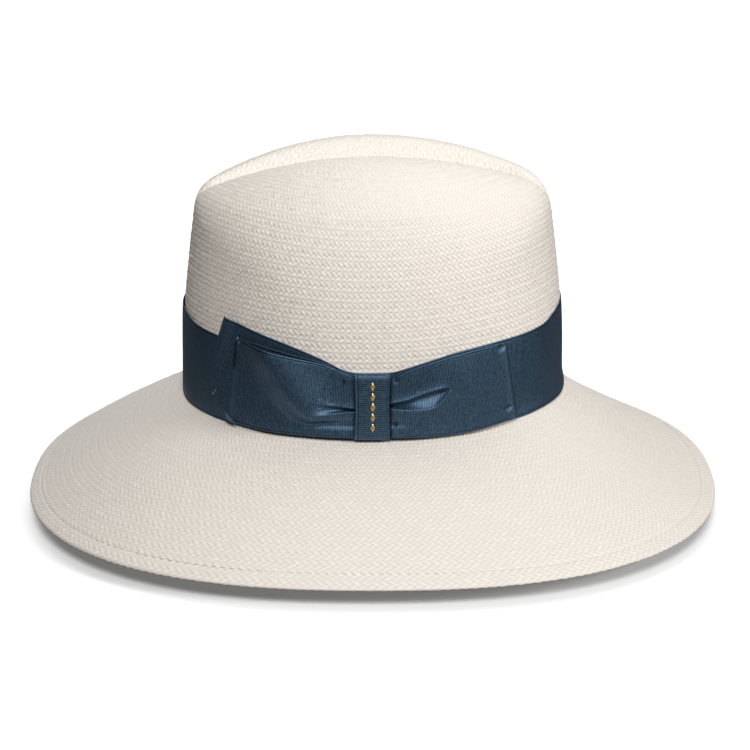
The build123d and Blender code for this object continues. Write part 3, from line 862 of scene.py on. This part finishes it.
# the flat layer behind the left loop, turned under at its end
s = np.linspace(0, 1, 110)
under_top = smooth_curve(((-3, 81.2), (-10.6, 84.2), (-27.1, 92.2), (-42.6, 97.9), (-59.2, 102.7),
                          (-77.3, 108.1)), s)
under_low = smooth_curve(((-3, 51), (-10.6, 51), (-40, 52), (-75.8, 60.6), (-85.6, 65.2)), s)
t = (across / RIBBON_WIDTH)[None, :, None]
bowed = np.array([-1.6, 0.0]) * np.sin(pi * t) * ease(s, 0.6, 1)[:, None, None]
flat = under_low[:, None, :] * (1 - t) + under_top[:, None, :] * t + bowed
ridge = 1.5 * ease(s, 0.90, 0.985)[:, None] * ease(across, 8, 34)[None, :]
layer_out = 1.75 + ridge - 1.2 * ease(s, 0.985, 1.0)[:, None]
layer_front = np.concatenate([flat, layer_out[..., None]], axis=-1)
layer_grid = on_wall(flat[..., 0], flat[..., 1], layer_out)[::-1]
# rim is a painted highlight along the layer's turned-under end and along its lower edge toward that end.
rim = 0.55 * bell(s, 1.0, 0.010)[:, None] + 0.25 * bell(across, 0.4, 0.5)[None, :] * ease(s, 0.7, 1)[:, None]
layer = ribbon_piece("bow_under_layer_ribbon", layer_grid, run_lengths(layer_grid), trim=rim[::-1])
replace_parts(layer, "bow_under_layer")

# the small corner of the left loop's back that shows below its fold
corner = np.array([(-77.4, 57.6), (-71.2, 51.6), (-77.2, 53.6)])
steps = np.linspace(0, 1, 8)
patch = (corner[0] * (1 - steps)[:, None, None] + (corner[2] * (1 - across / RIBBON_WIDTH)[None, :, None]
         + corner[1] * (across / RIBBON_WIDTH)[None, :, None]) * steps[:, None, None])
grid = on_wall(patch[..., 0], patch[..., 1], np.full(patch.shape[:2], 3.7) + 0.5 * steps[:, None])
# The whole corner is lightened: a painted highlight.
tip = ribbon_piece("bow_loop_left_corner", grid, run_lengths(grid) + 3, LINING_RIBBON, trim=0.9)

# the knot: a short ribbon wrapped over the middle, ribs level
path = np.array([(82.0, 1.1), (84.4, 1.6), (85.4, 3.0), (85.6, 4.4), (85.0, 5.4), (83.6, 5.95), (80, 6.1),
                 (75, 6.08), (68, 6.06), (61, 6.08), (55, 6.1), (52, 6.0), (50.5, 5.5), (49.9, 4.4),
                 (50.0, 3.0), (51.0, 1.6), (53, 1.1)])
wrapped = smooth_curve(path, np.linspace(0, 1, 130))
knot_across = KNOT_LEFT + (KNOT_RIGHT - KNOT_LEFT) * across / RIBBON_WIDTH
x = np.repeat(knot_across[None, :], len(wrapped), axis=0)
z = np.repeat(wrapped[:, :1], len(across), axis=1)
out = np.repeat(wrapped[:, 1:], len(across), axis=1)
side = np.minimum(knot_across - KNOT_LEFT, KNOT_RIGHT - knot_across)[None, :]
out = out - 0.5 * np.exp(-((side / 0.5) ** 2)) * ease(out, 2.5, 5)
waist = 0.35 * np.sin(pi * ease(z, 50, 85)) * np.sign(x) * ease(np.abs(x), 5, 9)
knot_grid = on_wall(x - waist, z, out)
dots = 0.5 + 0.5 * np.sin(2 * pi * z[:, :1] / 0.95)
piping = bell(knot_across, KNOT_LEFT + 1.05, 0.38)[None, :] * (0.35 + 0.65 * dots)
# groove is two dark lines just inside the knot's edges: painted shadow where its sides fold in.
groove = bell(knot_across, KNOT_LEFT + 1.85, 0.22) + 0.7 * bell(knot_across, KNOT_RIGHT - 0.9, 0.16)
knot = ribbon_piece("bow_knot_ribbon", knot_grid, 0.85 * run_lengths(knot_grid), KNOT_RIBBON, trim=piping,
                    lines=groove[None, :])
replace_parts(knot, "bow_knot")


# tack stitches that hold the bow down
def tack_stitches(name, places, length, material):
    """Small stitches that lie on the cloth: each place is x, z and the cloth's own points."""
    centres, runs, ups = [], [], []
    for i, (x, z, cloth) in enumerate(places):
        cloth = cloth.reshape(-1, 3)
        out = cloth[np.argmin((cloth[:, 0] - x) ** 2 + (cloth[:, 1] - z) ** 2), 2]
        here, aside, outward = (on_wall(np.array(a), np.array(b), c) for a, b, c in
                                ((x, z, out), (x + 0.5, z + 1.3 - 0.9 * (i % 2), out), (x, z, out + 1)))
        centres.append(here)
        runs.append(aside - here)
        ups.append(outward - here)
    piece = stitches(name, centres, runs, ups, length, 0.6, 0.6, material)
    return piece


tack_at = [(66.7, 94.8, right_front), (71.0, 61.5, right_front), (12.4, 82.0, right_front),
           (11.8, 58.4, right_front), (-14.2, 81.6, left_front)]
bright_at = [(-70.2, 98.2, left_front), (-69.2, 96.4, left_front),
             (-82.9, 66.2, layer_front), (-83.8, 64.4, layer_front)]
dark_thread = thread_material("ribbon_thread", (0.012, 0.024, 0.040), (0.004, 0.008, 0.014), 0.5)
pale_thread = thread_material("ribbon_thread_pale", (0.20, 0.30, 0.40), (0.10, 0.17, 0.24), 0.45)
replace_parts(tack_stitches("bow_tack_stitches", tack_at, 2.0, dark_thread), "bow_tacks")
tack_stitches("bow_tack_stitches_left", bright_at, 2.2, pale_thread)

# the gilt ornament on the knot: a column of small domed lozenges
points, faces = [], []
for middle in 57.0 + 5.5 * np.arange(5):
    start = len(points)
    for share, lifted in ((1.0, 6.02), (0.86, 6.28), (0.0, 6.46)):
        for side_x, side_z in ((1.3, 0), (0, 2.4), (-1.3, 0), (0, -2.4)) if share else ((0, 0),):
            points.append(on_wall(np.array(side_x * share), np.array(middle + side_z * share), lifted))
    for i in range(4):
        j = (i + 1) % 4
        faces += [(start + i, start + 4 + j, start + j), (start + i, start + 4 + i, start + 4 + j),
                  (start + 4 + i, start + 8, start + 4 + j)]
gilt = gilt_material("gold_print")
motif = make_mesh("knot_ornament", np.array(points), faces, material=gilt)
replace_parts(motif, "knot_motif")

# ---------------------------------------------------------------- inside the crown
def inside(y, z, out):
    """The point at y and z on the inner back wall, at a (negative) distance out from the straw."""
    half_length, half_width = wall_halves(z)
    share = np.minimum(np.abs(y) / (half_width + out), 1)
    return np.stack([(half_length + out) * (1 - share**HEAD_FULLNESS) ** (1 / HEAD_FULLNESS), y, z], axis=-1)


def inside_ribbon(name, ys, low, high, out, thickness=LINING_RIBBON, **more):
    """A small ribbon on the inner back wall; ys runs along it, low and high bound it, out is its depth."""
    t = (across / RIBBON_WIDTH)[None, :]
    z = np.asarray(low)[:, None] * (1 - t) + np.asarray(high)[:, None] * t
    grid = inside(np.repeat(np.asarray(ys)[:, None], len(across), axis=1), z, out(np.asarray(ys)[:, None], t))
    return ribbon_piece(name, grid[::-1], run_lengths(grid[::-1]), thickness, **more)


leather = leather_material("leather_tan", (0.56, 0.38, 0.23), (0.42, 0.27, 0.15))
tape_leather = leather_material("seam_tape", (0.50, 0.33, 0.19), (0.38, 0.24, 0.13))
label_cloth = thread_material("label_cloth", (0.80, 0.77, 0.70), (0.66, 0.62, 0.54))
lining_ribbon = ribbon_material("lining_ribbon", tint=0.9, pitch=LINING_RIB_PITCH)
band_angles = even_turns(720, lambda a: wall_radius(a, 70.0))
foot = break_height(band_angles) + 0.35
profile = [(0.0, -1.45), (0.0, -1.9)]
profile += [(h, -2.30 - 0.12 * bell(h, 3.4, 0.8) + 0.30 * bell(h, 5.2, 0.9))
            for h in np.linspace(0.4, 36.6, 60)]
profile += [(37.2, -2.36), (37.7, -2.25), (38.0, -1.95), (37.9, -1.65), (37.5, -1.45)]
profile += [(h, -1.40) for h in np.linspace(36, 1.2, 12)]
rows = []
for h, out in profile:
    loose = ease(h, 6, SWEATBAND_HEIGHT)
    ripple = loose * (0.22 * np.sin(8 * band_angles + 0.7) + 0.12 * np.sin(19 * band_angles + h / 11))
    crease = 0.05 * np.sin(57 * band_angles + 2 * np.sin(h / 6)) * bell(h, 20, 14)
    reach = wall_radius(band_angles, foot + h, out - np.maximum(ripple + 0.2 * loose, -0.05) - crease)
    rows.append(turned(reach, band_angles, foot + h))
faces, _ = grid_faces(len(band_angles), len(rows) + 1, wrap=True, flip=True)
faces = faces % (len(rows) * len(band_angles))            # the last row joins the first
sweatband = make_mesh("sweatband_leather", np.concatenate(rows), faces, material=leather)
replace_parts(sweatband, "sweatband")

ys = np.linspace(-2.5, 2.5, 9)
seam = inside_ribbon("sweatband_seam_strip", ys, 58.4 + 0 * ys, 87.0 + 0 * ys,
                     lambda y, t: -2.95 - 0.25 * bell(y, 0, 1.2) + 0 * t, 0.35, material=tape_leather)
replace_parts(seam, "sweatband_seam_tape")
ys = np.linspace(-34, -10, 40)
label = inside_ribbon("size_label_cloth", ys, 66 + 0 * ys, 82 + 0 * ys,
                      lambda y, t: -3.05 - 0.18 * np.sin(y / 3.1) * np.sin(pi * t) - 0.1 * t,
                      material=label_cloth)
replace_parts(label, "size_label")


def small_bow_out(y, t):
    """Depth of the small bow: puffed out along its middle, pinched by the knot."""
    pinch = 0.45 * bell(t, 0.5, 0.12) * (1 - ease(np.abs(y), 4, 14))
    return -3.3 - 0.9 * np.sin(pi * ease(np.abs(y), 0, 17)) + pinch


bow_pieces = []
for name, ends in (("small_bow_left", (0.8, 16)), ("small_bow_right", (-16, -0.8))):
    ys = np.linspace(*ends, 40)
    spread = 1.0 + 4.0 * ease(np.abs(ys), 0, 16)
    bow_pieces.append(inside_ribbon(name, ys, 62.3 - spread, 62.3 + spread, small_bow_out,
                                    material=lining_ribbon))
ys = np.linspace(-1.5, 1.5, 9)
bow_pieces.append(inside_ribbon("small_bow_knot", ys, 60.3 + 0 * ys, 64.3 + 0 * ys,
                                lambda y, t: -4.2 + 0.5 * np.abs(2 * t - 1) ** 3 + 0.12 * np.abs(y), 0.4,
                                material=lining_ribbon))
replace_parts(bow_pieces[0], "sweatband_bow")


# ---------------------------------------------------------------- pieces carried over from the CAD
welt_tape = thread_material("welt_tape", (0.50, 0.37, 0.25), (0.36, 0.26, 0.17))
finishes = {"welt": welt_tape, "thread": white_thread}
for row in frame["record"]["subparts"]:
    node = bpy.data.objects[row["node"]]
    if not node.hide_render:
        node.data.materials.clear()
        node.data.materials.append(finishes[row["material_slot"]])

# ---------------------------------------------------------------- floor, light and camera
floor_paint = Paint("floor")
grain = floor_paint.noise(3.0, 2.0)
# The floor glows, and the glow is dimmed where ambient occlusion finds the hat close by: a painted contact
# shadow.
open_sky = floor_paint.node("ShaderNodeAmbientOcclusion", {"Distance": 0.06}, samples=8).outputs["AO"]
open_sky = floor_paint.between(open_sky, 0.45, 0.98)
ground = floor_paint.mix(grain, (0.92, 0.92, 0.92, 1), (0.94, 0.94, 0.94, 1))
glow = floor_paint.mix(open_sky, (0.25, 0.25, 0.25, 1), (1, 1, 1, 1))
floor_paint.set(Base_Color=ground, Roughness=0.9, Emission_Color=glow, Emission_Strength=0.42)
bpy.ops.mesh.primitive_plane_add(size=24, location=(0, 0, FLOOR_LEVEL))
floor = bpy.context.object
floor.name = "floor"
floor.data.materials.append(floor_paint.material)
floor.visible_diffuse = floor.visible_glossy = False      # it isn't to light the hat from below

world = bpy.data.worlds.new("studio")
bpy.context.scene.world = world
world.use_nodes = True
world.node_tree.nodes["Background"].inputs[0].default_value = (1, 1, 1, 1)
world.node_tree.nodes["Background"].inputs[1].default_value = 0.09


def sun(name, turn, height, strength, spread):
    """A soft sun: turn is measured from the camera's side toward the right of the picture."""
    light = bpy.data.lights.new(name, "SUN")
    light.energy, light.angle = strength, radians(spread)
    lamp = bpy.data.objects.new(name, light)
    away = Vector((sin(radians(turn)) * cos(radians(height)), -cos(radians(turn)) * cos(radians(height)),
                   sin(radians(height))))
    lamp.rotation_mode = "QUATERNION"
    lamp.rotation_quaternion = (-away).to_track_quat("-Z", "Y")
    bpy.context.scene.collection.objects.link(lamp)


sun("key_light", 60, 25, 1.70, 20)
sun("front_light", 0, 45, 2.00, 20)
sun("back_light", 180, 60, 0.45, 40)
sun("rim_light", 200, 20, 0.50, 40)

camera = bpy.data.objects.new("camera", bpy.data.cameras.new("camera"))
bpy.context.scene.collection.objects.link(camera)
bpy.context.scene.camera = camera
camera.data.lens = CAMERA_LENS
camera.data.shift_x = CAMERA_SHIFT
target = Vector((0, 0, CAMERA_TARGET_HEIGHT))
rise = radians(CAMERA_RISE)
camera.location = target + Vector((0, -CAMERA_DISTANCE * cos(rise), CAMERA_DISTANCE * sin(rise)))
camera.rotation_mode = "QUATERNION"
camera.rotation_quaternion = (target - camera.location).to_track_quat("-Z", "Y")
bpy.context.scene.view_settings.view_transform = "Standard"

bpy.context.view_layer.update()
